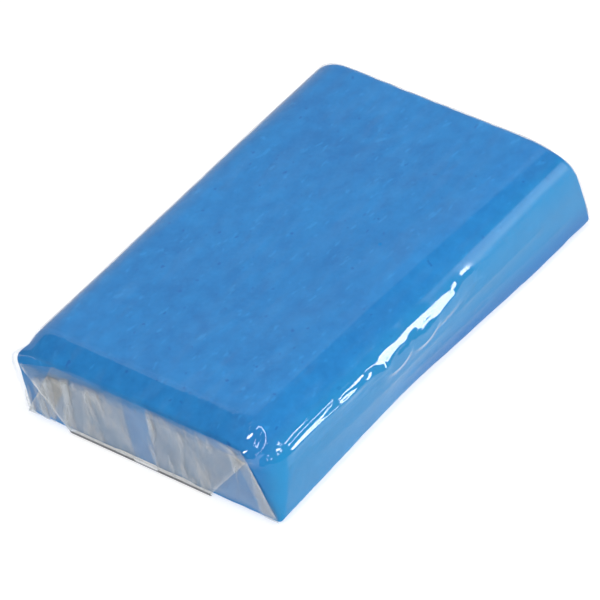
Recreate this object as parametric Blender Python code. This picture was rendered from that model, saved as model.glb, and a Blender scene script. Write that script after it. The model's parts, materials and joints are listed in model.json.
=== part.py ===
"""A block of car detailing clay, folded into one sheet of clear film like a small parcel.

Metres, +Z up. The origin is on the ground under the middle of the bar.
X runs along the bar, Y across it. The front end is at -X and the rear end at +X.
"""

import math

import bmesh
import bpy
from mathutils import Matrix, Vector

MM = 0.001

# Size of the wrapped bar
LENGTH = 80.0 * MM
WIDTH = 55.6 * MM
HEIGHT = 16.0 * MM

# Film, and the space left between layers that touch
FILM = 0.2 * MM
GAP = 0.3 * MM
LAYER = FILM + GAP

# Rounding of the wrapped bar's long edges, across and down: broad at -Y, tighter at +Y
BROAD_EDGE = (9.8 * MM, 6.0 * MM)
TIGHT_EDGE = (6.5 * MM, 4.5 * MM)
BOTTOM_EDGE = 1.9 * MM

# The film's top runs down over each end to the crease that the upper flap hangs from
CREASE_HEIGHT = 14.1 * MM
END_ROLL = 5.0 * MM
END_ROLL_DROP = 5.0 * MM
CREASE_SETBACK = 1.0 * MM

# Rounding of the clay itself at its ends
CLAY_END_X = 4.5 * MM
CLAY_END_Z = 4.0 * MM
CLAY_CORNER = 3.5 * MM
CLAY_FOOT = 1.4 * MM

# Lap seam on the underside
LAP_WIDTH = 12.0 * MM
LAP_STEP = 1.0 * MM

# Folded end panels: half widths and heights of their corners
UPPER_TOP_HALF = 19.0 * MM
UPPER_CORNER_HALF = 25.6 * MM
UPPER_CORNER_HEIGHT = 11.5 * MM
UPPER_FOOT_HALF = 15.0 * MM
UPPER_FOOT_HEIGHT = 0.1 * MM
LOWER_FOOT_HALF = 26.0 * MM
LOWER_TOP_HALF = 19.0 * MM
LOWER_TOP_HEIGHT = 12.0 * MM
TUCK_OUTER = 26.6 * MM
TUCK_DEPTH = 24.0 * MM
TUCK_TOP = 10.8 * MM
TUCK_FOOT = 1.2 * MM
TUCK_CLIP = 1.0 * MM

# The front end leans in a little towards the top: x shrinks by this share per metre of height
LEAN = CREASE_SETBACK / (LENGTH / 2 * CREASE_HEIGHT)

ARC_STEPS = 8
END_STEPS = 8
SMOOTH_ANGLE = math.radians(35)

CLAY_COLOUR = (0.05, 0.235, 0.55, 1.0)
FILM_COLOUR = (0.80, 0.88, 0.95, 1.0)


# ---------------------------------------------------------------- materials

def material(name, colour, roughness, alpha=1.0):
    made = bpy.data.materials.new(name)
    made.use_nodes = True
    shader = made.node_tree.nodes["Principled BSDF"]
    shader.inputs["Base Color"].default_value = colour
    shader.inputs["Roughness"].default_value = roughness
    shader.inputs["Metallic"].default_value = 0.0
    shader.inputs["Alpha"].default_value = alpha
    return made


# ---------------------------------------------------------------- outlines

def arc(centre, radii, start, end, steps=ARC_STEPS):
    """Points of an elliptical arc in the YZ plane, both ends included."""
    points = []
    for step in range(steps + 1):
        angle = math.radians(start + (end - start) * step / steps)
        y = centre[0] + radii[0] * math.cos(angle)
        z = centre[1] + radii[1] * math.sin(angle)
        points.append((y, z))
    return points


def flank(half, low, high, inset, edge):
    """One side of the bar's cross-section, from its foot up to the top, inset from its skin."""
    foot = BOTTOM_EDGE - inset
    top_y = edge[0] - inset
    top_z = edge[1] - inset
    lower = arc((half - foot, low + foot), (foot, foot), -90, 0)
    upper = arc((half - top_y, high - top_z), (top_y, top_z), 0, 90)
    return lower + upper


def section(half, low, high, inset):
    """The bar's cross-section, from the foot at -Y over the top to the foot at +Y."""
    broad = [(-y, z) for y, z in flank(half, low, high, inset, BROAD_EDGE)]
    tight = flank(half, low, high, inset, TIGHT_EDGE)
    return broad + list(reversed(tight))


def lean_share(x, z):
    """What x is multiplied by at height z: only the front end leans."""
    return 1 - LEAN * z if x < 0 else 1.0


def roll(x, start, reach, drop):
    """How far a face has dropped at x, on an elliptical roll that begins at start."""
    run = max(0.0, abs(x) - start) / reach
    return drop * (1 - math.sqrt(max(0.0, 1 - run * run)))


def stations(end, start, reach):
    """Places along X: close together on the two rolled ends, one long span between them."""
    last = math.asin(min(1.0, (end - start) / reach))
    right = [start + reach * math.sin(last * step / END_STEPS) for step in range(END_STEPS + 1)]
    return [-x for x in reversed(right)] + right


# ---------------------------------------------------------------- mesh helpers

def loft(rings, closed):
    """A skin through rings of points that all have the same number of points."""
    mesh = bmesh.new()
    rows = [[mesh.verts.new(point) for point in ring] for ring in rings]
    count = len(rows[0])
    spans = count if closed else count - 1
    for row, following in zip(rows, rows[1:]):
        for index in range(spans):
            after = (index + 1) % count
            mesh.faces.new((row[index], following[index], following[after], row[after]))
    if closed:
        mesh.faces.new(rows[0])
        mesh.faces.new(list(reversed(rows[-1])))
        bmesh.ops.recalc_face_normals(mesh, faces=mesh.faces)
    return mesh


def plate(outline, x_inner, side):
    """A flat panel of film across the end on the given side, from an outline in Y and Z."""
    mesh = bmesh.new()
    corners = [mesh.verts.new((side * x_inner, y, z)) for y, z in outline]
    face = mesh.faces.new(corners)
    grown = bmesh.ops.extrude_face_region(mesh, geom=[face])
    moved = [item for item in grown["geom"] if isinstance(item, bmesh.types.BMVert)]
    bmesh.ops.translate(mesh, verts=moved, vec=(side * FILM, 0, 0))
    bmesh.ops.recalc_face_normals(mesh, faces=mesh.faces)
    return mesh


def add_object(name, mesh, finish, origin=(0, 0, 0)):
    """Lean the front end, then place the mesh as an object whose origin is at the given point."""
    for vertex in mesh.verts:
        vertex.co.x *= lean_share(vertex.co.x, vertex.co.z)
    mesh.transform(Matrix.Translation(-Vector(origin)))
    data = bpy.data.meshes.new(name)
    mesh.to_mesh(data)
    mesh.free()
    data.shade_smooth()
    data.set_sharp_from_angle(angle=SMOOTH_ANGLE)
    data.materials.append(finish)
    made = bpy.data.objects.new(name, data)
    made.location = origin
    bpy.context.scene.collection.objects.link(made)
    return made


# ---------------------------------------------------------------- clay

def clay_bar(finish):
    end = LENGTH / 2 - 3 * LAYER
    rings = []
    for x in stations(end, end - CLAY_END_X, CLAY_END_X):
        drop = roll(x, end - CLAY_END_X, CLAY_END_X, CLAY_END_Z)
        side = roll(x, end - CLAY_CORNER, CLAY_CORNER, CLAY_CORNER)
        lift = roll(x, end - CLAY_FOOT, CLAY_FOOT, CLAY_FOOT)
        half = WIDTH / 2 - LAYER - side
        outline = section(half, LAYER + lift, HEIGHT - LAYER - drop, LAYER)
        rings.append([(x, y, z) for y, z in outline])
    bar = add_object("clay_bar", loft(rings, closed=True), finish)

    # A shallow channel along the underside leaves room for the film's inner lap
    channel = bmesh.new()
    bmesh.ops.create_cube(channel, size=1.0)
    wide = LAP_WIDTH + 2 * LAP_STEP + 2 * GAP
    middle = (LAP_STEP + GAP) / 2
    bmesh.ops.scale(channel, vec=(LENGTH * 1.2, wide, 4 * LAYER), verts=channel.verts)
    bmesh.ops.translate(channel, vec=(0, middle, 0), verts=channel.verts)
    cutter = add_object("lap_channel_cutter", channel, finish)
    cutter.hide_render = True
    cutter.display_type = "WIRE"
    cut = bar.modifiers.new("lap_channel", "BOOLEAN")
    cut.operation = "DIFFERENCE"
    cut.solver = "EXACT"
    cut.object = cutter
    return bar


# ---------------------------------------------------------------- film round the bar

def film_sleeve(finish):
    """The sheet goes once round the bar and its two margins lap on the underside."""
    end = LENGTH / 2 - LAYER
    start = LENGTH / 2 - END_ROLL
    crease_share = 1 - (HEIGHT - CREASE_HEIGHT) / END_ROLL_DROP
    reach = END_ROLL / math.sqrt(1 - crease_share * crease_share)
    lap = LAP_WIDTH / 2
    rings = []
    for x in stations(end, start, reach):
        drop = roll(x, start, reach, END_ROLL_DROP)
        outer_margin = [(lap, 0.0)]
        inner_margin = [(lap + 2 * LAP_STEP, 0.0), (lap + LAP_STEP, LAYER), (-lap, LAYER)]
        path = outer_margin + section(WIDTH / 2, 0.0, HEIGHT - drop, 0.0) + inner_margin
        rings.append([(x, y, z) for y, z in path])
    sleeve = add_object("film_sleeve", loft(rings, closed=False), finish)
    thick = sleeve.modifiers.new("film", "SOLIDIFY")
    thick.thickness = FILM
    thick.offset = -1
    thick.use_even_offset = True
    return sleeve


# ---------------------------------------------------------------- film folded over the ends

def side_tuck(name, side, hand, finish):
    """Layer next to the clay: the side of the sheet, pushed flat against the end."""
    outer = hand * TUCK_OUTER
    clipped = hand * (TUCK_OUTER - TUCK_CLIP)
    inner = hand * (TUCK_OUTER - TUCK_DEPTH)
    outline = [
        (inner, TUCK_FOOT),
        (clipped, TUCK_FOOT),
        (outer, TUCK_FOOT + TUCK_CLIP),
        (outer, TUCK_TOP - TUCK_CLIP),
        (clipped, TUCK_TOP),
        (inner, TUCK_TOP),
    ]
    return add_object(name, plate(outline, LENGTH / 2 - 2 * LAYER - FILM, side), finish)


def lower_flap(name, side, finish):
    """Middle layer: folded up from the bottom edge, which its origin is on."""
    foot = 2 * LAYER
    outline = [
        (-LOWER_FOOT_HALF, foot),
        (LOWER_FOOT_HALF, foot),
        (LOWER_TOP_HALF, LOWER_TOP_HEIGHT),
        (-LOWER_TOP_HALF, LOWER_TOP_HEIGHT),
    ]
    x_inner = LENGTH / 2 - LAYER - FILM
    hinge_height = foot - GAP / 2
    hinge_x = side * (x_inner + FILM / 2) * lean_share(side, hinge_height)
    return add_object(name, plate(outline, x_inner, side), finish, (hinge_x, 0, hinge_height))


def upper_flap(name, side, finish):
    """Outer layer: folded down from the crease, which its origin is on."""
    outline = [
        (-UPPER_FOOT_HALF, UPPER_FOOT_HEIGHT),
        (UPPER_FOOT_HALF, UPPER_FOOT_HEIGHT),
        (UPPER_CORNER_HALF, UPPER_CORNER_HEIGHT),
        (UPPER_TOP_HALF, CREASE_HEIGHT),
        (-UPPER_TOP_HALF, CREASE_HEIGHT),
        (-UPPER_CORNER_HALF, UPPER_CORNER_HEIGHT),
    ]
    x_inner = LENGTH / 2 - FILM
    hinge_x = side * (x_inner + FILM / 2) * lean_share(side, CREASE_HEIGHT)
    return add_object(name, plate(outline, x_inner, side), finish, (hinge_x, 0, CREASE_HEIGHT))


# ---------------------------------------------------------------- the whole bar

def main():
    for old in list(bpy.data.objects):
        bpy.data.objects.remove(old, do_unlink=True)

    clay_bar(material("blue_clay", CLAY_COLOUR, 0.55))
    film_sleeve(material("film_sleeve", FILM_COLOUR, 0.12, alpha=0.3))
    for end_name, side in (("front", -1), ("rear", 1)):
        for hand_name, hand in (("left", 1), ("right", -1)):
            tuck = f"{end_name}_tuck_{hand_name}"
            side_tuck(tuck, side, hand, material(tuck, FILM_COLOUR, 0.15, alpha=0.3))
        lower = f"{end_name}_lower_flap"
        lower_flap(lower, side, material(lower, FILM_COLOUR, 0.15, alpha=0.3))
        upper = f"{end_name}_upper_flap"
        upper_flap(upper, side, material(upper, FILM_COLOUR, 0.15, alpha=0.3))


main()
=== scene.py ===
"""The looks of a block of car detailing clay, folded into one sheet of clear film like a parcel.

Metres in the row frame: X along the bar, Y across it, +Z up, the bar resting on Z = 0.
Shapes are worked out in millimetres as grids of points and turned into meshes in metres.
"""

import json
import math

import bmesh
import bpy
import numpy as np
from mathutils import Matrix, Vector


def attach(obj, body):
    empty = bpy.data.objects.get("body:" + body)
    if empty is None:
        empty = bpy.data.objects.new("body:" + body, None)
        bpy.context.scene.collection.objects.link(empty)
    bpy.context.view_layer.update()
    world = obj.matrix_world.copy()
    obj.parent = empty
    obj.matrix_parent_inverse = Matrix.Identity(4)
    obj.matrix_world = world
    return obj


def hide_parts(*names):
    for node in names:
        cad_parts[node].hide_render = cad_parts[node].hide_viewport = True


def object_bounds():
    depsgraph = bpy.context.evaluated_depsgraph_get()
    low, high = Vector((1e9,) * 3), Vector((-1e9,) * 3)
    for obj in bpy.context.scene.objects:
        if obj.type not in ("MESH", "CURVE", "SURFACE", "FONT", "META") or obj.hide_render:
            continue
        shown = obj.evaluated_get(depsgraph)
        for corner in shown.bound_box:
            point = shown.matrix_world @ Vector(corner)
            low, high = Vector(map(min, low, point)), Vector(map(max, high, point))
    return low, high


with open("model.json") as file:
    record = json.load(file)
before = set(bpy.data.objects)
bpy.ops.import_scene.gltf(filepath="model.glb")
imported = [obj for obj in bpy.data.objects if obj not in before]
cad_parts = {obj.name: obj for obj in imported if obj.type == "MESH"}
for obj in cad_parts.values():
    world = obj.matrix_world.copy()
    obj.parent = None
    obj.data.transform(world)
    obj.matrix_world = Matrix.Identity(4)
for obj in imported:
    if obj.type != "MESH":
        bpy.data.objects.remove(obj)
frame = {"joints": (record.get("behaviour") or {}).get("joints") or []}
cad_low, cad_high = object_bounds()

MM = 0.001

# Driving sizes, in millimetres, from the frame
END = cad_high.x / MM
HALF = cad_high.y / MM
TOP = cad_high.z / MM
HINGES = {joint["name"]: Vector(joint["pos_m"]) / MM for joint in frame["joints"]}
CREASE_Z = HINGES["front_upper_fold"].z
FOOT_Z = HINGES["front_lower_fold"].z

# The sheet's outermost layer at each end, and how much each end leans in towards its top
UPPER_X = END - 0.1
FRONT_LEAN = (UPPER_X - abs(HINGES["front_upper_fold"].x)) / (UPPER_X * CREASE_Z)
REAR_LEAN = (UPPER_X - HINGES["rear_upper_fold"].x) / (UPPER_X * CREASE_Z)

# Rounding of the wrapped bar's long edges, in millimetres
TIGHT_EDGE_Y = 6.5
TIGHT_EDGE_Z = 4.5
FOOT_EDGE = 1.9

# The broad shoulder along -Y: distance round it from the top, and its slope there in degrees
SHOULDER = [(0.0, 0), (3.4, 14), (9.9, 37), (11.1, 64), (12.8, 82), (15.0, 90)]

# Where the top starts to slope down to the front crease and how softly, how long and high the rear
# end's roll is, how long the foot's is, and how much of each end has closer stations
FRONT_SLOPE_X = -35.0
FRONT_SLOPE_LEAD = 0.4
FRONT_SLOPE_BEND = 0.012
REAR_ROLL = 2.2
REAR_ROLL_Z = 5.0
FOOT_ROLL = 0.75
END_STATIONS = 6.5

# The height above which a point comes down in full with the top over an end
DROP_FULL_Z = TOP - 6.0

# Vertical corners, radius at the foot and at the top, at the heights in CORNER_Z: broad at -Y, tight at +Y
BROAD_FRONT = (0.9, 5.3)
BROAD_REAR = (0.6, 0.9)
CORNER_Z = (1.0, 11.0)
TIGHT_FILM = (0.2, 0.8)
TIGHT_CLAY = (1.2, 2.6)

# How much the broad shoulder fills out towards the rear: outwards and up, from and to which X,
# and round which point, as (y, z), with its reach across and up
REAR_FULLNESS = (0.32, 0.64)
REAR_FULLNESS_X = (6.0, 34.0)
REAR_FULLNESS_AT = (-25.2, 13.2)
REAR_FULLNESS_REACH = (3.6, 2.4)

# Depth of each folded layer behind the outermost one at the ends
UPPER_EAR = 0.15
LOWER_DEPTH = 0.24
LOWER_EAR = 0.33
TUCK_DEPTH = 0.42

# How far the spare film stands out at the front +Y corner
FLARE = 2.0

# The V-shaped waist low on the -Y side: its middle, how deep it is, how far it reaches along the bar,
# how rounded its point is, and the height at which it has died away
WAIST_X = -7.0
WAIST_DEPTH = 1.7
WAIST_REACH = 34.0
WAIST_POINT = 3.0
WAIST_TOP = 10.0

# Where the side tucks end, measured across the bar
TUCK_EDGE_LEFT = 4.1
TUCK_EDGE_RIGHT = -1.0

# Across the bar, left and right: the ends of the crease, where it starts to fall, and how far it falls
CREASE_ENDS = (27.3, -22.5)
CREASE_BENDS = (18.1, -17.6)
CREASE_FALLS = (2.9, 2.4)

# Across the bar, left and right: the upper flap's free end, and the lower flap's top and foot
UPPER_FREE_Y = (18.0, -12.3)
UPPER_FREE_Z = 0.55
LOWER_TOP_Y = (19.2, -21.6)
LOWER_TOP_Z = CREASE_Z - 0.5
LOWER_FOOT_Y = (27.6, -26.9)

# Above this line, given as (y, z), the layers on an end lie tight on the clay
CLEAR_LINE = [(-27.0, 11.6), (-19.5, 14.3), (-17.6, 14.15), (16.0, 12.5), (27.6, 8.5)]

END_SIGNS = {"front": -1, "rear": 1}


# ---------------------------------------------------------------- small helpers

def smooth(low, high, value):
    """0 below low, 1 above high, eased between."""
    share = np.clip((value - low) / (high - low), 0, 1)
    return share * share * (3 - 2 * share)


def waves(seed, count, shortest, longest, stretch=1.0):
    """A gentle random field of two coordinates, about -1 to 1. stretch makes it longer along the first."""
    random = np.random.default_rng(seed)
    heading = random.uniform(0, math.tau, count)
    pace = math.tau / random.uniform(shortest, longest, count)
    phase = random.uniform(0, math.tau, count)

    def field(first, second):
        total = np.zeros(np.broadcast(first, second).shape)
        for turn, rate, start in zip(heading, pace, phase):
            total += np.cos(rate * (first / stretch * math.cos(turn) + second * math.sin(turn)) + start)
        return total * math.sqrt(2 / count) / 1.6

    return field


def roll(x, start, reach, drop):
    """How far a face has dropped at x, on an elliptical roll that begins at start."""
    run = np.clip((np.abs(x) - start) / reach, 0, 1)
    return drop * (1 - np.sqrt(1 - run * run))


def distance_to_line(first, second, points):
    """Distance in the plane of two coordinates to a polyline, and how far along it, 0 to 1."""
    best = np.full(np.broadcast(first, second).shape, np.inf)
    along = np.zeros_like(best)
    steps = [math.dist(a, b) for a, b in zip(points, points[1:])]
    done = 0.0
    for (a, b), step in zip(zip(points, points[1:]), steps):
        share = ((first - a[0]) * (b[0] - a[0]) + (second - a[1]) * (b[1] - a[1])) / step ** 2
        share = np.clip(share, 0, 1)
        gap = np.hypot(first - a[0] - share * (b[0] - a[0]), second - a[1] - share * (b[1] - a[1]))
        along = np.where(gap < best, (done + share * step) / sum(steps), along)
        best = np.minimum(best, gap)
        done += step
    return best, along


def ridge(first, second, points, height, width):
    """A creased ridge along a polyline, fading at both its ends."""
    gap, along = distance_to_line(first, second, points)
    fade = smooth(0, 0.12, along) * smooth(0, 0.12, 1 - along)
    crest = np.exp(-(np.sqrt(gap * gap + (0.25 * width) ** 2) - 0.25 * width) / (0.5 * width))
    return height * crest * fade


def turned_about(first, second, centre, turn):
    """Two coordinates measured from a centre, along axes turned by an angle in degrees."""
    c, s = math.cos(math.radians(turn)), math.sin(math.radians(turn))
    across = (first - centre[0]) * c + (second - centre[1]) * s
    up = (second - centre[1]) * c - (first - centre[0]) * s
    return across, up


def ring(first, second, centre, radii, turn, height, width):
    """A creased ridge along an ellipse: the rim of a small pucker."""
    across, up = turned_about(first, second, centre, turn)
    out = np.hypot(across / radii[0], up / radii[1])
    gap = np.abs(out - 1) * min(radii)
    return height * np.exp(-(np.sqrt(gap * gap + (0.2 * width) ** 2)) / (0.5 * width))


def normals(points):
    """Outward normals of a grid of points."""
    down = np.gradient(points, axis=0)
    across = np.gradient(points, axis=1)
    made = np.cross(down, across)
    return made / np.maximum(np.linalg.norm(made, axis=2, keepdims=True), 1e-9)


def lean(points):
    """Each end leans in a little towards the top."""
    share = np.where(points[..., 0] < 0, FRONT_LEAN, REAR_LEAN)
    points[..., 0] *= 1 - share * points[..., 2]
    return points


# ---------------------------------------------------------------- the wrapped bar's skin

def corner_radius(x, y, z, tight=TIGHT_FILM):
    """Radius of the vertical corner at that end, side and height."""
    share = smooth(*CORNER_Z, z)
    broad_foot = np.where(x < 0, BROAD_FRONT[0], BROAD_REAR[0])
    broad_top = np.where(x < 0, BROAD_FRONT[1], BROAD_REAR[1])
    broad = broad_foot + (broad_top - broad_foot) * share
    return np.where(y < 0, broad, tight[0] + (tight[1] - tight[0]) * share)


def waist(x, y, z):
    """How far the lower -Y side is pulled in."""
    along = np.clip(1 - np.hypot(x - WAIST_X, WAIST_POINT) / WAIST_REACH, 0, 1)
    return WAIST_DEPTH * along * smooth(WAIST_TOP, 0.0, z) * smooth(-15.0, -25.0, y)


def arc(centre, radii, start, end, steps):
    """Points of an elliptical arc, without its last point."""
    angle = np.radians(start + (end - start) * np.arange(steps) / steps)
    return np.stack([centre[0] + radii[0] * np.cos(angle), centre[1] + radii[1] * np.sin(angle)], 1)


def line(start, end, steps):
    """Points of a straight run, without its last point."""
    share = np.arange(steps)[:, None] / steps
    return np.array(start) * (1 - share) + np.array(end) * share


def shoulder(steps):
    """The broad shoulder as offsets out and down from the edge of the flat top."""
    run = np.linspace(0, SHOULDER[-1][0], 400)
    slope = np.interp(run, [at for at, _ in SHOULDER], [angle for _, angle in SHOULDER])
    slope = np.radians(np.convolve(np.pad(slope, 12, mode="edge"), np.ones(25) / 25, "valid"))
    out = np.concatenate([[0], np.cumsum(np.cos(slope[:-1]) * np.diff(run))])
    down = np.concatenate([[0], np.cumsum(np.sin(slope[:-1]) * np.diff(run))])
    at = np.linspace(0, run[-1], steps + 1)
    return np.interp(at, run, out), np.interp(at, run, down)


# The film's height under the bar, half the lap's width, and how far its inner margin is lifted
BOTTOM_Z = 0.12
LAP_HALF = 6.0
LAP_LIFT = 0.25

SHOULDER_STEPS = 84
TOP_STEPS = 84
TIGHT_STEPS = 36
SIDE_STEPS = 24
FOOT_STEPS = 8


def over(bottom):
    """The path from one foot over the top to the other, in Y and Z, starting on the -Y foot's arc."""
    foot_y, foot_z = HALF - FOOT_EDGE, bottom + FOOT_EDGE
    out, down = shoulder(SHOULDER_STEPS)
    flat_y = HALF - out[-1]
    tight_y, tight_z = HALF - TIGHT_EDGE_Y, TOP - TIGHT_EDGE_Z
    rising = np.stack([-(flat_y + out), TOP - down], 1)[:0:-1]
    return [
        arc((-foot_y, foot_z), (FOOT_EDGE, FOOT_EDGE), 270, 180, FOOT_STEPS),
        line((-HALF, foot_z), (-HALF, TOP - down[-1]), SIDE_STEPS),
        rising,
        line((-flat_y, TOP), (tight_y, TOP), TOP_STEPS),
        arc((tight_y, tight_z), (TIGHT_EDGE_Y, TIGHT_EDGE_Z), 90, 0, TIGHT_STEPS),
        line((HALF, tight_z), (HALF, foot_z), SIDE_STEPS),
        arc((foot_y, foot_z), (FOOT_EDGE, FOOT_EDGE), 0, -90, FOOT_STEPS),
    ]


def around():
    """The sheet's path once round the bar, from its outer margin to its inner one, in Y and Z."""
    foot_y = HALF - FOOT_EDGE
    outer_margin = [line((LAP_HALF, BOTTOM_Z), (-foot_y, BOTTOM_Z), 30)]
    inner_margin = [
        line((foot_y, BOTTOM_Z), (LAP_HALF + 2, BOTTOM_Z), 22),
        line((LAP_HALF + 2, BOTTOM_Z), (LAP_HALF + 1, BOTTOM_Z + LAP_LIFT), 4),
        line((LAP_HALF + 1, BOTTOM_Z + LAP_LIFT), (-LAP_HALF, BOTTOM_Z + LAP_LIFT), 16),
        np.array([(-LAP_HALF, BOTTOM_Z + LAP_LIFT)]),
    ]
    return np.concatenate(outer_margin + over(BOTTOM_Z) + inner_margin)


def end_reach(y, z):
    """How far the sheet runs along X before it folds: least at the sides, which tuck in first."""
    side = smooth(HALF - 6.0, HALF - 2.6, np.abs(y)) * smooth(0.6, 2.4, z)
    low = smooth(3.0, 0.5, z)
    reach = UPPER_X - TUCK_DEPTH * side
    return reach * (1 - low) + (UPPER_X - LOWER_DEPTH) * low


def soft_ramp(run):
    """0 before the front slope and rising with run on it, with a soft bend between."""
    return 0.5 * (run + np.sqrt(run * run + FRONT_SLOPE_BEND))


def front_drop(x):
    """How far the top has dropped at x over the front end, down to the crease."""
    run = np.clip((FRONT_SLOPE_X - x) / (UPPER_X + FRONT_SLOPE_X), -FRONT_SLOPE_LEAD, 1)
    least = soft_ramp(-FRONT_SLOPE_LEAD)
    share = (soft_ramp(run) - least) / (soft_ramp(1) - least)
    return (TOP - CREASE_Z) * np.clip(share, 0, 1)


def rear_drop(x):
    """How far the top has dropped at x over the rear end, on a roll that meets the crease."""
    share = 1 - (TOP - CREASE_Z) / REAR_ROLL_Z
    start = END - REAR_ROLL
    return roll(x, start, (UPPER_X - start) / math.sqrt(1 - share * share), REAR_ROLL_Z)


def rear_fullness(x, y, z):
    """How much the broad shoulder fills out there, 0 to 1."""
    across = (y - REAR_FULLNESS_AT[0]) / REAR_FULLNESS_REACH[0]
    up = (z - REAR_FULLNESS_AT[1]) / REAR_FULLNESS_REACH[1]
    return smooth(*REAR_FULLNESS_X, x) * np.exp(-across ** 2 - up ** 2)


def place(x, y, z, tight=TIGHT_FILM):
    """A point of the bar's skin, with its end rolls, corners and waist, before the lean."""
    drop = np.where(x < 0, front_drop(x), rear_drop(x))
    height = z - drop * np.clip((z - FOOT_EDGE) / (DROP_FULL_Z - FOOT_EDGE), 0, 1)
    lift = roll(x, UPPER_X - LOWER_DEPTH - FOOT_ROLL, FOOT_ROLL, FOOT_Z - BOTTOM_Z)
    height = height + lift * smooth(2.0, 0.5, z)
    radius = corner_radius(x, y, height, tight)
    inset = roll(x, end_reach(y, z) - radius, radius, 1.0) * radius
    inset = inset + waist(x, y, height)
    full = rear_fullness(x, y, height)
    across = y * (1 - inset / HALF) - REAR_FULLNESS[0] * full
    return np.stack(np.broadcast_arrays(x, across, height + REAR_FULLNESS[1] * full), -1)


# Where the crest of the -Y shoulder is: in from the side, and down from the top
CREST_IN = 1.4
CREST_DOWN = 3.2


def path_lengths(path):
    """Distance along the path of each point, measured from the crest of the -Y shoulder."""
    steps = np.hypot(*np.diff(path, axis=0).T)
    total = np.concatenate([[0], np.cumsum(steps)])
    crest = np.argmin(np.hypot(path[:, 0] + HALF - CREST_IN, path[:, 1] - TOP + CREST_DOWN))
    return total - total[crest]


# Creases of the sleeve: points (x, distance round the bar), height, width.
# The film lies loose round the first ones.
STROKES = [
    ([(-37.3, -1.6), (-31, -1.4), (-24.7, -1.4), (-16, -1.7), (-9.2, -2.5)], 0.50, 0.95),
    ([(-36.8, -0.5), (-30, -0.2), (-22, -0.1), (-14, -0.5), (-11, -0.9)], 0.30, 0.6),
    ([(-36.2, -0.2), (-34.7, 0.3), (-32.4, 0.5), (-26.5, 0.7)], 0.20, 0.5),
    ([(-3.0, -2.6), (1.0, -2.2), (4.6, -1.8), (8.2, -1.4)], 0.38, 0.9),
    ([(-14.0, -2.2), (-6.0, -2.3), (0.0, -2.2), (6.0, -1.9), (11.0, -1.3)], 0.50, 3.8),
    ([(-29.0, -2.8), (-22.0, -3.0), (-15.0, -2.8)], 0.12, 0.8),
    ([(-23.0, -0.7), (-20.0, -0.6), (-17.0, -0.9), (-14.5, -0.8)], 0.20, 0.5),
    ([(5.5, -5.0), (17.0, -4.9), (29.5, -4.8)], 0.13, 0.9),
    ([(13.6, -0.6), (16.2, -1.3), (21.4, -1.7)], 0.10, 0.8),
    ([(-34, 6.2), (-18, 7.2), (2, 6.8)], 0.08, 1.6),
    ([(4, 5.2), (20, 5.6), (34, 5.8)], 0.09, 1.4),
    ([(-30, -6.0), (-10, -6.6), (6, -6.2)], 0.10, 1.0),
    ([(8, -7.6), (22, -8.0), (36, -7.8)], 0.09, 1.0),
    ([(-8, -9.0), (4, -9.2), (16, -8.8)], 0.09, 0.9),
]
SLACK_STROKES = 7

# Puckers of the sleeve: centre, radii, turn in degrees, height, width
PUCKERS = [
    ((-8.0, -2.6), (3.0, 1.2), 10, 0.34, 0.7),
    ((-1.1, -2.8), (3.0, 1.1), 12, 0.34, 0.7),
    ((-13.2, -2.0), (2.0, 0.8), 6, 0.20, 0.5),
    ((-36.3, 3.4), (2.3, 0.8), 48, 0.42, 0.6),
    ((-37.8, -0.1), (1.6, 0.9), 100, 0.42, 0.6),
    ((-38.7, 2.2), (1.7, 0.8), 60, 0.40, 0.6),
    ((-36.2, 5.8), (0.9, 0.5), 20, 0.26, 0.4),
]

# Where the facet above the -Y edge ends on the top: points (x, distance round the bar)
FACET_BORDER = [(-38.0, 6.9), (-23.0, 6.7), (5.9, 6.0), (38.0, 4.4)]

# Tents of the sleeve: centre, radii, turn in degrees, height
TENTS = [
    ((-8.0, -3.3), (3.0, 1.6), 8, 0.44),
    ((-1.1, -3.5), (3.0, 1.6), 10, 0.48),
    ((4.2, -3.2), (3.8, 1.1), 5, 0.36),
    ((-20.5, -1.5), (5.5, 1.3), 4, 0.36),
    ((-37.2, 1.8), (1.6, 1.0), 45, 0.30),
    ((-38.8, 1.7), (0.9, 1.7), 20, 0.46),
    ((-37.8, -0.4), (1.0, 1.2), 0, 0.42),
]


def tent(first, second, centre, radii, turn, height):
    """A soft cone over an ellipse."""
    across, up = turned_about(first, second, centre, turn)
    out = np.sqrt((across / radii[0]) ** 2 + (up / radii[1]) ** 2 + 0.02)
    return height * np.clip(1.14 - out, 0, None)


def film_relief(x, s):
    """How far the sleeve stands off the clay, in millimetres, at x and at the path's distance s."""
    soft = waves(11, 9, 9.0, 24.0, stretch=2.2)
    fine = waves(12, 12, 3.0, 7.0, stretch=3.0)
    height = 0.07 * soft(x, s) + 0.012 * fine(x, s)

    for points, tall, wide in STROKES:
        height = height + ridge(x, s, points, tall, wide)
    for centre, radii, turn, tall, wide in PUCKERS:
        height = height + ring(x, s, centre, radii, turn, tall, wide)
    for centre, radii, turn, tall in TENTS:
        height = height + tent(x, s, centre, radii, turn, tall)
    return height * smooth(END + 0.3, END - 0.7, np.abs(x))


def corner_strip(x, s):
    """1 on the narrow strip down the front -Y corner, where the film turns towards the end."""
    corner_x = np.interp(s, [-14.0, -1.5], [-39.2, -35.2])
    return smooth(corner_x + 0.5, corner_x - 0.5, x) * smooth(0.5, -1.5, s)


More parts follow.
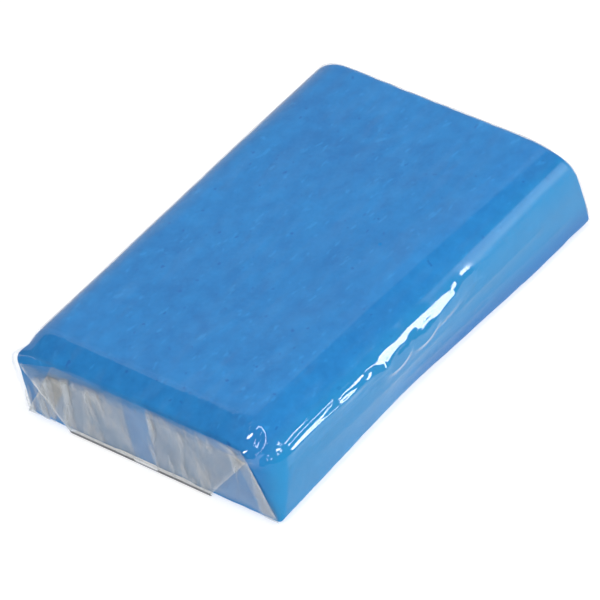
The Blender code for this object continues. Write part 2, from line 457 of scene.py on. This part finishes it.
def film_slack(x, s):
    """How loosely the sleeve lies, 0 to 1: loose on the facet above the -Y edge, and round its creases."""
    border = np.interp(x, [x_at for x_at, _ in FACET_BORDER], [s_at for _, s_at in FACET_BORDER])
    slack = smooth(0.6, 2.2, s) * smooth(border + 0.8, border - 0.8, s)
    for points, tall, wide in STROKES[:SLACK_STROKES]:
        gap, _ = distance_to_line(x, s, points)
        slack = np.maximum(slack, smooth(3.6, 0.5, gap))
    for centre, radii, turn, tall, wide in PUCKERS:
        gap = np.hypot(x - centre[0], s - centre[1])
        slack = np.maximum(slack, smooth(radii[0] + 3.5, radii[0], gap))
    slack = slack * smooth(-5.2, -2.4, s)
    slack = np.maximum(slack, smooth(FRONT_SLOPE_X + 2.0, FRONT_SLOPE_X - 0.5, x) * smooth(3.0, 5.0, s))
    return np.maximum(slack, corner_strip(x, s))


def along_bar(end):
    """Stations along X, closer together near each end."""
    roll_start = END - END_STATIONS
    inner = np.linspace(0, roll_start, 92)
    outer = roll_start + (end - roll_start) * np.sin(np.linspace(0, 1, 27)[1:] * math.pi / 2)
    half = np.concatenate([inner, outer])
    return np.concatenate([-half[:0:-1], half])


def corner_flare(x, y, z):
    """The spare film that stands out at the front +Y corner, below the top."""
    high = np.clip((z - 1.5) / 10.5, 0, 1) * smooth(15.6, 13.4, z)
    return FLARE * high * smooth(-36.6, -39.6, x) * smooth(24.0, 27.0, y)


def sleeve_grid():
    """The sheet's path round the bar, its distances, and the X of every point of the sleeve."""
    path = around()
    x = along_bar(UPPER_X)[:, None] / UPPER_X * end_reach(path[:, 0], path[:, 1])[None, :]
    return path, path_lengths(path)[None, :], x


def sleeve_points():
    """The sheet round the bar."""
    path, s, x = sleeve_grid()
    points = place(x, path[None, :, 0], path[None, :, 1])
    off = film_relief(x, s)
    off = off * smooth(0.5, 3.0, points[..., 2])
    points = points + normals(points) * off[..., None]
    points[..., 1] += corner_flare(x, points[..., 1], points[..., 2])
    return lean(points)


# ---------------------------------------------------------------- film folded over the ends

# Wrinkles on the ends: height, then the direction they run in across the bar and down
SHARED_WRINKLE = 0.11
SHARED_SLANT = (0.62, 0.78)
OWN_WRINKLE = 0.03
OWN_SLANT = (0.5, 0.87)


def slanted(y, z, slant):
    """Two coordinates along and across a slanted direction on an end."""
    return slant[0] * y - slant[1] * z, slant[1] * y + slant[0] * z


def end_relief(y, z):
    """Slanted wrinkles that every layer on an end shares, in millimetres."""
    field = waves(21, 8, 5.0, 12.0, stretch=3.0)
    fade = smooth(CREASE_Z, CREASE_Z - 3.0, z) * smooth(FOOT_Z, FOOT_Z + 2.5, z)
    return SHARED_WRINKLE * field(*slanted(y, z, SHARED_SLANT)) * fade


def layer(y, z, depth, side, seed):
    """Points of one folded layer at that depth, wrinkled, on the end at that side."""
    own = waves(seed, 7, 2.5, 6.0, stretch=2.0)
    fade = smooth(CREASE_Z, CREASE_Z - 2.0, z) * smooth(FOOT_Z, FOOT_Z + 1.5, z)
    wrinkle = OWN_WRINKLE * own(*slanted(y, z, OWN_SLANT)) * fade
    x = UPPER_X - depth + end_relief(y * side, z) + wrinkle
    return lean(np.stack(np.broadcast_arrays(side * x, y, z), -1))


def cling_share(y, z):
    """0 where an end's layers cling and look clear, above a line that falls towards +Y; 1 below it."""
    edge = np.interp(y, [y_at for y_at, _ in CLEAR_LINE], [z_at for _, z_at in CLEAR_LINE])
    return smooth(edge + 0.15, edge - 1.5, z)


def hem(y, z, depth, back, outward, side):
    """The round turn between a flap's folded edge and the ear behind it, as columns of points."""
    columns = []
    for step in range(1, 6):
        angle = math.pi * step / 6
        bulge = (back - depth) / 2 * math.sin(angle)
        deep = depth + (back - depth) * (1 - math.cos(angle)) / 2
        columns.append(layer(y + outward * bulge, z, deep, side, 0))
    return columns


def flap_grid(top, bottom, edges, depth, back, side, seed, columns=96, rows=44):
    """A flap from its top line to its bottom line, with an ear folded behind each slanting edge."""
    share = np.linspace(0, 1, rows)[:, None]
    across = np.linspace(0, 1, columns)[None, :]
    top_y, top_z = top(across)
    bottom_y, bottom_z = bottom(across)
    y = top_y * (1 - share) + bottom_y * share
    z = top_z * (1 - share) + bottom_z * share
    front = layer(y, z, depth, side, seed)
    parts = []
    for column, inner, outward in ((0, edges[0], 1), (-1, edges[1], -1)):
        edge_y, edge_z = y[:, column], z[:, column]
        reach = np.linspace(0, 1, 26)[None, :]
        ear_y = edge_y[:, None] * (1 - reach) + inner(edge_y)[:, None] * reach
        ear = layer(ear_y, edge_z[:, None] + 0 * ear_y, back, side, seed + 1)
        turn = np.stack(hem(edge_y, edge_z, depth, back, outward, side), 1)
        parts.append((ear, turn))
    left = np.concatenate([parts[0][0][:, ::-1], parts[0][1][:, ::-1]], 1)
    right = np.concatenate([parts[1][1], parts[1][0]], 1)
    return np.concatenate([left, front, right], 1)


def end_half(side, side_y, z):
    """Half width of the wrapped bar at its very end, on the side of that sign, at height z."""
    return HALF - corner_radius(side, side_y, z)


def crease_line(across):
    """The line the upper flap hangs from: straight, and down at both corners."""
    left, right = CREASE_ENDS
    y = left + (right - left) * across
    left_fall = CREASE_FALLS[0] * np.clip((y - CREASE_BENDS[0]) / (left - CREASE_BENDS[0]), 0, 1)
    right_fall = CREASE_FALLS[1] * smooth(CREASE_BENDS[1], right, y)
    return y, CREASE_Z - left_fall - right_fall


def level_line(ends, z, across):
    """A level line between two ends across the bar."""
    y = ends[0] + (ends[1] - ends[0]) * across
    return y, np.full_like(y, z)


# The upper flap's bend round the bottom edge, and how far it lies under the bar, row by row
UNDER_BEND = 0.5
UNDER_Z = 0.05
UNDER_ROWS = 8
UNDER_TAPER = 0.055


def upper_flap_points(side):
    """Down from the crease, then round the bottom edge and a little way under the bar."""

    def bottom(across):
        return level_line(UPPER_FREE_Y, UPPER_FREE_Z, across)

    def left_inner(edge):
        return np.minimum(edge, TUCK_EDGE_LEFT)

    def right_inner(edge):
        return np.maximum(edge, TUCK_EDGE_RIGHT)

    grid = flap_grid(crease_line, bottom, (left_inner, right_inner), 0.0, UPPER_EAR, side, 31)
    under = []
    last = grid[-1]
    middle = 0.5 * (last[:, 1].max() + last[:, 1].min())
    for step in range(1, 5):
        angle = math.pi / 2 * step / 4
        row = last.copy()
        row[:, 0] = last[:, 0] - side * UNDER_BEND * (1 - math.cos(angle))
        row[:, 2] = last[:, 2] - UNDER_BEND * math.sin(angle)
        under.append(row)
    bent = under[-1]
    for step in range(1, UNDER_ROWS + 1):
        row = bent.copy()
        row[:, 0] -= side * step
        row[:, 1] = middle + (row[:, 1] - middle) * (1 - UNDER_TAPER * step)
        row[:, 2] = UNDER_Z
        under.append(row)
    return np.concatenate([grid, np.stack(under)])


def lower_flap_points(side):
    """Up from the foot, behind the upper flap."""

    def top(across):
        return level_line(LOWER_TOP_Y, LOWER_TOP_Z, across)

    def bottom(across):
        return level_line(LOWER_FOOT_Y, FOOT_Z, across)

    def left_inner(edge):
        return edge - 4.5

    def right_inner(edge):
        return edge + 3.0

    return flap_grid(top, bottom, (left_inner, right_inner), LOWER_DEPTH, LOWER_EAR, side, 41)


def tuck_points(side, hand):
    """From the bar's vertical corner inwards, next to the clay."""
    z_outer = np.linspace(1.6, 11.0, 34)[:, None]
    z_inner = np.linspace(1.0, 13.4, 34)[:, None]
    reach = np.linspace(0, 1, 60)[None, :]
    edge = TUCK_EDGE_LEFT if hand > 0 else TUCK_EDGE_RIGHT
    outer = hand * end_half(side, hand, z_outer)
    y = outer * (1 - reach) + edge * reach
    z = z_outer * (1 - reach) + z_inner * reach
    return layer(y, z, TUCK_DEPTH, side, 51 + hand)


# ---------------------------------------------------------------- clay

# The clay inside the film: how far it stays in, its underside's height, the rounding of its end faces'
# rims, how far its relief stays in, and how much of the film's flare it follows
CLAY_X = END - 0.66
CLAY_INSET = 0.10
CLAY_FOOT_Z = 0.14
CLAY_END_EDGE = 0.45
CLAY_RELIEF_INSET = 0.07
CLAY_FLARE_SHARE = 1.0


def clay_points():
    """Rings round the clay, from one end face to the other, closing in a little on both faces."""
    foot_y = HALF - FOOT_EDGE
    path = np.concatenate(
        [line((0, CLAY_FOOT_Z), (-foot_y, CLAY_FOOT_Z), 40)]
        + over(CLAY_FOOT_Z)
        + [line((foot_y, CLAY_FOOT_Z), (0, CLAY_FOOT_Z), 40)]
    )
    ahead = np.roll(path, -1, 0) - np.roll(path, 1, 0)
    outward = np.stack([-ahead[:, 1], ahead[:, 0]], 1)
    outward /= np.linalg.norm(outward, axis=1, keepdims=True)
    body = along_bar(CLAY_X - CLAY_END_EDGE)
    angles = np.linspace(0, math.pi / 2, 9)[1:]
    edge_x = CLAY_X - CLAY_END_EDGE * (1 - np.sin(angles))
    edge_inset = CLAY_END_EDGE * (1 - np.cos(angles))
    stations = np.concatenate([-edge_x[::-1], body, edge_x])
    insets = np.concatenate([edge_inset[::-1], 0 * body, edge_inset]) + CLAY_INSET
    y = path[None, :, 0] - outward[None, :, 0] * insets[:, None]
    z = path[None, :, 1] - outward[None, :, 1] * insets[:, None]
    points = place(stations[:, None], y, z, TIGHT_CLAY)
    swell = waves(61, 9, 14.0, 36.0)
    dents = waves(62, 14, 3.0, 8.0)
    pits = waves(63, 16, 1.6, 3.6)
    px, py, pz = points[..., 0], points[..., 1], points[..., 2]
    skin = 0.05 * swell(px + pz, py - pz) + 0.03 * dents(px + 0.7 * pz, py - 0.6 * pz)
    skin += 0.012 * pits(px - 0.4 * pz, py + 0.8 * pz) - CLAY_RELIEF_INSET
    points = points + normals(points) * skin[..., None]
    points[..., 1] += CLAY_FLARE_SHARE * corner_flare(px, py, pz)
    lap = smooth(LAP_HALF + 3.0, LAP_HALF + 1.6, np.abs(py)) * smooth(2.0, 0.9, pz)
    points[..., 2] += LAP_LIFT * lap
    return lean(points)


# ---------------------------------------------------------------- meshes

def make_object(name, points, faces, finish):
    """A smooth mesh object from points in millimetres; points that meet are merged."""
    data = bpy.data.meshes.new(name)
    data.from_pydata((points * MM).tolist(), [], faces)
    mesh = bmesh.new()
    mesh.from_mesh(data)
    bmesh.ops.remove_doubles(mesh, verts=mesh.verts, dist=0.002 * MM)
    bmesh.ops.dissolve_degenerate(mesh, edges=mesh.edges, dist=0.0005 * MM)
    mesh.to_mesh(data)
    mesh.free()
    data.shade_smooth()
    data.materials.append(finish)
    made = bpy.data.objects.new(name, data)
    bpy.context.scene.collection.objects.link(made)
    return made


def closed_object(name, rings, finish):
    """A closed mesh object from rings of points, with a flat face at each end."""
    rows, columns = rings.shape[:2]
    index = np.arange(rows * columns).reshape(rows, columns)
    after = np.roll(index, -1, 1)
    faces = np.stack([index[:-1], after[:-1], after[1:], index[1:]], -1).reshape(-1, 4).tolist()
    faces.append(index[0][::-1].tolist())
    faces.append(index[-1].tolist())
    return make_object(name, rings.reshape(-1, 3), faces, finish)


def grid_object(name, points, finish, flip=False):
    """A mesh object from a grid of points."""
    rows, columns = points.shape[:2]
    index = np.arange(rows * columns).reshape(rows, columns)
    quads = [index[:-1, :-1], index[:-1, 1:], index[1:, 1:], index[1:, :-1]]
    if flip:
        quads.reverse()
    faces = np.stack(quads, -1).reshape(-1, 4).tolist()
    return make_object(name, points.reshape(-1, 3), faces, finish)


def store(made, name, values):
    """Keeps one number on each point of an object's mesh."""
    made.data.attributes.new(name, "FLOAT", "POINT").data.foreach_set("value", values)


# How much hazier the film is along a folded edge, and how wide that line is in millimetres
FOLD_SHEEN = 1.5
FOLD_SHEEN_WIDTH = 0.4

# The folded edges of each end's flaps: start and end of each, across and up, in millimetres
FOLDED_EDGES = {
    "upper": [
        ((top_y, CREASE_Z - fall), (free_y, UPPER_FREE_Z))
        for top_y, fall, free_y in zip(CREASE_ENDS, CREASE_FALLS, UPPER_FREE_Y)
    ],
    "lower": [
        ((top_y, LOWER_TOP_Z), (foot_y, FOOT_Z))
        for top_y, foot_y in zip(LOWER_TOP_Y, LOWER_FOOT_Y)
    ],
}


def store_haze(flap, creases=()):
    """Keeps on each point of a folded layer how hazy it looks there."""
    points = np.array([vertex.co for vertex in flap.data.vertices]) / MM
    haze = cling_share(points[:, 1], points[:, 2]) * smooth(0.3, 1.5, points[:, 2])
    for start, end in creases:
        gap, _ = distance_to_line(points[:, 1], points[:, 2], [start, end])
        haze = haze * (1 + FOLD_SHEEN * np.exp(-((gap / FOLD_SHEEN_WIDTH) ** 2)))
    store(flap, "haze", haze)


def store_slack(sleeve):
    """Keeps on each point of the sleeve how loosely it lies there, and how far it is on the corner strip."""
    _, s, x = sleeve_grid()
    assert x.size == len(sleeve.data.vertices)
    for name, value in (("slack", film_slack(x, s)), ("strip", corner_strip(x, s))):
        store(sleeve, name, value.ravel())


# ---------------------------------------------------------------- materials

class Nodes:
    """Adds nodes to a new material and links them, a line at a time."""

    def __init__(self, name):
        self.material = bpy.data.materials.new(name)
        self.material.use_nodes = True
        self.tree = self.material.node_tree
        self.tree.nodes.clear()
        self.output = self.tree.nodes.new("ShaderNodeOutputMaterial")
        self.place = self.tree.nodes.new("ShaderNodeTexCoord").outputs["Object"]

    def add(self, kind, **inputs):
        made = self.tree.nodes.new(kind)
        for name, value in inputs.items():
            self.set(made.inputs[name.replace("_", " ")], value)
        return made

    def set(self, socket, value):
        if isinstance(value, bpy.types.NodeSocket):
            self.tree.links.new(value, socket)
        else:
            socket.default_value = value

    def math(self, operation, *values, clamp=False):
        made = self.tree.nodes.new("ShaderNodeMath")
        made.operation = operation
        made.use_clamp = clamp
        for socket, value in zip(made.inputs, values):
            self.set(socket, value)
        return made.outputs[0]

    def mix(self, factor, first, second):
        made = self.add("ShaderNodeMix")
        made.data_type = "RGBA"
        self.set(made.inputs[0], factor)
        self.set(made.inputs[6], first)
        self.set(made.inputs[7], second)
        return made.outputs[2]

    def mix_shaders(self, factor, first, second):
        made = self.add("ShaderNodeMixShader", Fac=factor)
        self.set(made.inputs[1], first)
        self.set(made.inputs[2], second)
        return made.outputs[0]

    def stored(self, name):
        made = self.tree.nodes.new("ShaderNodeAttribute")
        made.attribute_name = name
        return made.outputs["Fac"]

    def stretched(self, scale, turn=(0, 0, 0)):
        made = self.add("ShaderNodeMapping", Vector=self.place, Scale=scale, Rotation=turn)
        return made.outputs["Vector"]

    def noise(self, vector, scale, detail=3.0, roughness=0.5):
        made = self.add("ShaderNodeTexNoise", Vector=vector, Scale=scale, Detail=detail, Roughness=roughness)
        return made.outputs["Factor" if "Factor" in made.outputs else "Fac"]

    def ramp(self, factor, stops):
        made = self.add("ShaderNodeValToRGB", Fac=factor)
        elements = made.color_ramp.elements
        for element, (position, colour) in zip([elements[0], elements[1]], stops[:2]):
            element.position = position
            element.color = colour
        for position, colour in stops[2:]:
            elements.new(position).color = colour
        return made.outputs["Color"]

    def span(self, value, low, high, to_low=0.0, to_high=1.0):
        made = self.tree.nodes.new("ShaderNodeMapRange")
        made.interpolation_type = "SMOOTHSTEP"
        for socket, item in zip(made.inputs, (value, low, high, to_low, to_high)):
            self.set(socket, item)
        return made.outputs[0]

    def bump(self, height, strength, distance, below=None):
        made = self.add("ShaderNodeBump", Height=height, Strength=strength, Distance=distance)
        if below is not None:
            self.set(made.inputs["Normal"], below)
        return made.outputs["Normal"]


# Colours of the clay, light and dark, and of what lies on it; then painted light, which makes its -Y side
# lighter and more cyan, and painted shade along the foot of that side
CLAY_TONES = [(0.50, (0.006, 0.195, 0.53, 1)), (0.90, (0.015, 0.268, 0.65, 1))]
FLECK_COLOUR = (0.004, 0.14, 0.47, 1)
SCUFF_COLOUR = (0.03, 0.34, 0.76, 1)
# painted light: the lighter, more cyan colour of the clay's -Y side
LIT_SIDE_COLOUR = (0.012, 0.31, 0.61, 1)
# painted shade: the darker colour along the foot of the clay's -Y side
FOOT_SHADE_COLOUR = (0.004, 0.17, 0.50, 1)

MILK_COLOUR = (0.57, 0.63, 0.69, 1)
# painted shade: a dark tint for the folded film's lowest millimetre, standing in for the contact shadow
# under the bar
BEND_SHADE_COLOUR = (0.10, 0.11, 0.14, 1)


def clay_material():
    """Matt blue clay: mottled, with a fine grain, dark specks and short pale scuffs, and painted light and
    shade: its -Y side lighter and more cyan, and the foot of that side darker.
    """
    n = Nodes("clay")
    broad = n.noise(n.place, 55.0, 4.0, 0.55)
    mottle = n.noise(n.place, 330.0, 5.0, 0.68)
    tone = n.math("MULTIPLY_ADD", mottle, 0.9, n.math("MULTIPLY", broad, 0.5))
    base = n.ramp(tone, CLAY_TONES)
    fleck = n.span(n.noise(n.place, 640.0, 2.0, 0.5), 0.68, 0.75)
    speckled = n.mix(n.math("MULTIPLY", fleck, 0.7), base, FLECK_COLOUR)
    scuff = n.span(n.noise(n.stretched((420, 900, 420), (0, 0, 0.7)), 1.0, 2.0, 0.5), 0.63, 0.72)
    scuffed = n.mix(n.math("MULTIPLY", scuff, 0.45), speckled, SCUFF_COLOUR)

    parts = n.add("ShaderNodeSeparateXYZ", Vector=n.place)
    across = parts.outputs["Y"]
    # painted light: the clay's -Y side is made lighter and more cyan
    lit_side = n.mix(n.span(across, -0.0235, -0.0275, 0.0, 0.62), scuffed, LIT_SIDE_COLOUR)
    # painted shade: darker towards the foot of the -Y side, fading in from X = -12 mm towards the rear
    low = n.span(parts.outputs["Z"], 0.0062, 0.0012)
    low = n.math("MULTIPLY", low, n.span(parts.outputs["X"], -0.012, 0.003))
    low = n.math("MULTIPLY", low, n.span(across, -0.022, -0.026, 0.0, 0.8))
    foot_shaded = n.mix(low, lit_side, FOOT_SHADE_COLOUR)

    shader = n.add("ShaderNodeBsdfPrincipled", Base_Color=foot_shaded)
    n.set(shader.inputs["Roughness"], n.span(broad, 0.3, 0.7, 0.62, 0.78))
    shader.inputs["Specular IOR Level"].default_value = 0.18
    coarse = n.bump(n.noise(n.place, 160.0, 4.0, 0.55), 0.35, 0.0004)
    grain = n.noise(n.place, 900.0, 4.0, 0.6)
    n.set(shader.inputs["Normal"], n.bump(grain, 0.25, 0.00008, coarse))
    n.set(n.output.inputs["Surface"], shader.outputs[0])
    return n.material


def streaky_haze(n, streak, turn, low, high):
    """How milky the film is: streaks of one stretched noise, weaker in some patches."""
    ripple = n.noise(n.stretched(streak, turn), 1.0, 4.0, 0.55)
    patch = n.noise(n.place, 70.0, 2.0, 0.5)
    haze = n.math("MULTIPLY", n.span(ripple, 0.46, 0.62), n.span(patch, 0.35, 0.65, 0.45, 1.0))
    return n.math("MULTIPLY_ADD", haze, high - low, low)


def film_material(name, tint, mirror, haze, streak, turn, clinging=None):
    """Clear film: it mirrors a little, more at a slant, with pale haze in stretched streaks.

    The sleeve's film gives the roughness of its mirror where it clings. The folded film gives none, and its
    lowest millimetre has painted shade: a dark tint.
    """
    n = Nodes(name)
    parts = n.add("ShaderNodeSeparateXYZ", Vector=n.place)
    haze = streaky_haze(n, streak, turn, *haze)
    fine = n.bump(n.noise(n.stretched(streak, turn), 1.7, 3.0, 0.5), 0.4, 0.00006)
    slant = n.add("ShaderNodeLayerWeight", Blend=0.5, Normal=fine).outputs["Facing"]
    slanted = n.math("MULTIPLY", n.math("POWER", slant, 5.0), 0.92)
    near_floor = n.span(parts.outputs["Z"], 0.0005, 0.0026, 0.12, 1.0)

    if clinging is None:
        milky = n.stored("haze")
        haze = n.math("MULTIPLY", haze, milky)
        mirror = n.math("MULTIPLY_ADD", milky, mirror * 0.8, mirror * 0.2)
        shine = n.math("MULTIPLY", n.math("ADD", slanted, mirror, clamp=True), near_floor)
        # painted shade: the folded film is tinted dark between about 0.2 and 1 mm above the floor, standing
        # in for the contact shadow under the bar
        low = n.span(parts.outputs["Z"], 0.0010, 0.0005)
        bend = n.math("MULTIPLY", low, n.span(parts.outputs["Z"], 0.00006, 0.0002))
        tint = n.mix(n.math("MULTIPLY", bend, 0.75), tint, BEND_SHADE_COLOUR)
        roughness = 0.09
    else:
        slack = n.stored("slack")
        mirror = n.math("MULTIPLY_ADD", slack, mirror * 0.35, mirror)
        shine = n.math("MULTIPLY", n.math("ADD", slanted, mirror, clamp=True), near_floor)
        shine = n.math("MULTIPLY", shine, n.span(n.stored("strip"), 0.0, 1.0, 1.0, 0.30))
        roughness = n.span(slack, 0.0, 1.0, clinging, 0.07)

    corner = n.span(parts.outputs["Y"], 0.0286, 0.0297, 0.0, 0.24)
    haze = n.math("ADD", haze, corner, clamp=True)
    clear = n.add("ShaderNodeBsdfTransparent", Color=tint)
    milk = n.add("ShaderNodeBsdfPrincipled", Base_Color=MILK_COLOUR, Roughness=0.45, Normal=fine)
    gloss = n.add("ShaderNodeBsdfGlossy", Color=(1, 1, 1, 1), Roughness=roughness, Normal=fine)
    cloudy = n.mix_shaders(haze, clear.outputs[0], milk.outputs[0])
    n.set(n.output.inputs["Surface"], n.mix_shaders(shine, cloudy, gloss.outputs[0]))
    return n.material


def floor_material():
    """A white light table."""
    n = Nodes("floor")
    shader = n.add("ShaderNodeBsdfPrincipled", Base_Color=(0.50, 0.50, 0.50, 1), Roughness=0.9)
    shader.inputs["Specular IOR Level"].default_value = 0.0
    shader.inputs["Emission Color"].default_value = (1, 1, 1, 1)
    shader.inputs["Emission Strength"].default_value = 0.66
    n.set(n.output.inputs["Surface"], shader.outputs[0])
    return n.material


# ---------------------------------------------------------------- pieces


def add_pieces():
    clay = closed_object("clay_block", clay_points(), clay_material())
    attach(clay, "wrapped_bar")
    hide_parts("clay_bar")

    wrap = film_material(
        "film_wrap", tint=(0.985, 0.99, 1.0, 1), mirror=0.050, haze=(0.004, 0.026),
        streak=(90, 420, 420), turn=(0, 0, 0.12), clinging=0.50,
    )
    fold = film_material(
        "film_fold", tint=(0.955, 0.955, 0.95, 1), mirror=0.055, haze=(0.03, 0.50),
        streak=(500, 300, 80), turn=(0.40, 0, 0),
    )
    sleeve = grid_object("film_wrap", sleeve_points(), wrap, flip=True)
    store_slack(sleeve)
    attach(sleeve, "wrapped_bar")
    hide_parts("film_sleeve")

    for end_name, side in END_SIGNS.items():
        for hand_name, hand in (("left", 1), ("right", -1)):
            tuck = grid_object(f"{end_name}_{hand_name}_tuck", tuck_points(side, hand), fold)
            store_haze(tuck)
            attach(tuck, "wrapped_bar")
            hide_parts(f"{end_name}_tuck_{hand_name}")
        for layer_name, shape in (("lower", lower_flap_points), ("upper", upper_flap_points)):
            flap = grid_object(f"{end_name}_{layer_name}_fold", shape(side), fold)
            store_haze(flap, FOLDED_EDGES[layer_name])
            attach(flap, f"{end_name}_{layer_name}")
            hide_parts(f"{end_name}_{layer_name}_flap")


# ---------------------------------------------------------------- stage

# The camera: what it looks at, its direction and tilt, its distance in metres, its lens in millimetres,
# and how far it is moved across and up
TARGET = Vector((0, 0, 8)) * MM
AZIMUTH = math.radians(-38.886)
ELEVATION = math.radians(40.898)
TILT = math.radians(-16.034)
DISTANCE = 1.057
LENS = 393.0
ACROSS = -0.258 * MM
UPWARD = -2.776 * MM


AXIS_X = Vector((1, 0, 0))

# Soft boxes: name, direction from the bar, distance and size in metres, power in watts
LIGHTS = [
    ("key_strip", (0.474, -0.63, 0.60), 1.2, (0.45, 0.36), 6.2),
    ("top_box", (0.0, -0.16, 0.98), 1.3, (0.40, 0.40), 3.7),
    ("corner_spot", (-0.56, -0.17, 0.80), 1.2, (0.34, 0.30), 4.8),
    ("fill_box", (-0.47, -0.60, 0.65), 1.6, (0.30, 0.30), 2.2),
    ("back_box", (0.50, 0.76, 0.42), 1.2, (1.3, 1.3), 2.6),
]


def add_camera():
    level_part = math.cos(ELEVATION)
    back = Vector((math.sin(AZIMUTH) * level_part, -math.cos(AZIMUTH) * level_part, math.sin(ELEVATION)))
    level = (-back).cross(Vector((0, 0, 1))).normalized()
    upright = level.cross(-back)
    right = level * math.cos(TILT) + upright * math.sin(TILT)
    up = upright * math.cos(TILT) - level * math.sin(TILT)
    data = bpy.data.cameras.new("camera")
    data.lens = LENS
    data.sensor_width = 36.0
    data.clip_start = 0.01
    data.clip_end = 20.0
    camera = bpy.data.objects.new("camera", data)
    turned = Matrix((right, up, back)).transposed().to_4x4()
    turned.translation = TARGET + back * DISTANCE + right * ACROSS + up * UPWARD
    camera.matrix_world = turned
    bpy.context.scene.collection.objects.link(camera)
    bpy.context.scene.camera = camera


WORLD_COLOUR = (0.9, 0.95, 1.0, 1)
WORLD_STRENGTH = 0.15
FLOOR_HALF = 3.0


def add_light(name, direction, distance, size, power):
    """A soft white box that faces the bar, its first size level with X."""
    data = bpy.data.lights.new(name, "AREA")
    data.shape = "RECTANGLE"
    data.size, data.size_y = size
    data.energy = power
    back = Vector(direction).normalized()
    first = (AXIS_X - back * back.dot(AXIS_X)).normalized()
    second = back.cross(first)
    light = bpy.data.objects.new(name, data)
    turned = Matrix((first, second, back)).transposed().to_4x4()
    turned.translation = TARGET + back * distance
    light.matrix_world = turned
    light.visible_camera = False
    bpy.context.scene.collection.objects.link(light)


def add_stage():
    half = FLOOR_HALF
    data = bpy.data.meshes.new("floor")
    corners = [(-half, -half, 0), (half, -half, 0), (half, half, 0), (-half, half, 0)]
    data.from_pydata(corners, [], [(0, 1, 2, 3)])
    data.materials.append(floor_material())
    floor = bpy.data.objects.new("floor", data)
    bpy.context.scene.collection.objects.link(floor)

    world = bpy.data.worlds.new("studio")
    world.use_nodes = True
    backdrop = world.node_tree.nodes["Background"]
    backdrop.inputs["Color"].default_value = WORLD_COLOUR
    backdrop.inputs["Strength"].default_value = WORLD_STRENGTH
    bpy.context.scene.world = world

    for light in LIGHTS:
        add_light(*light)
    bpy.context.scene.view_settings.view_transform = "Standard"


add_camera()
add_pieces()
add_stage()
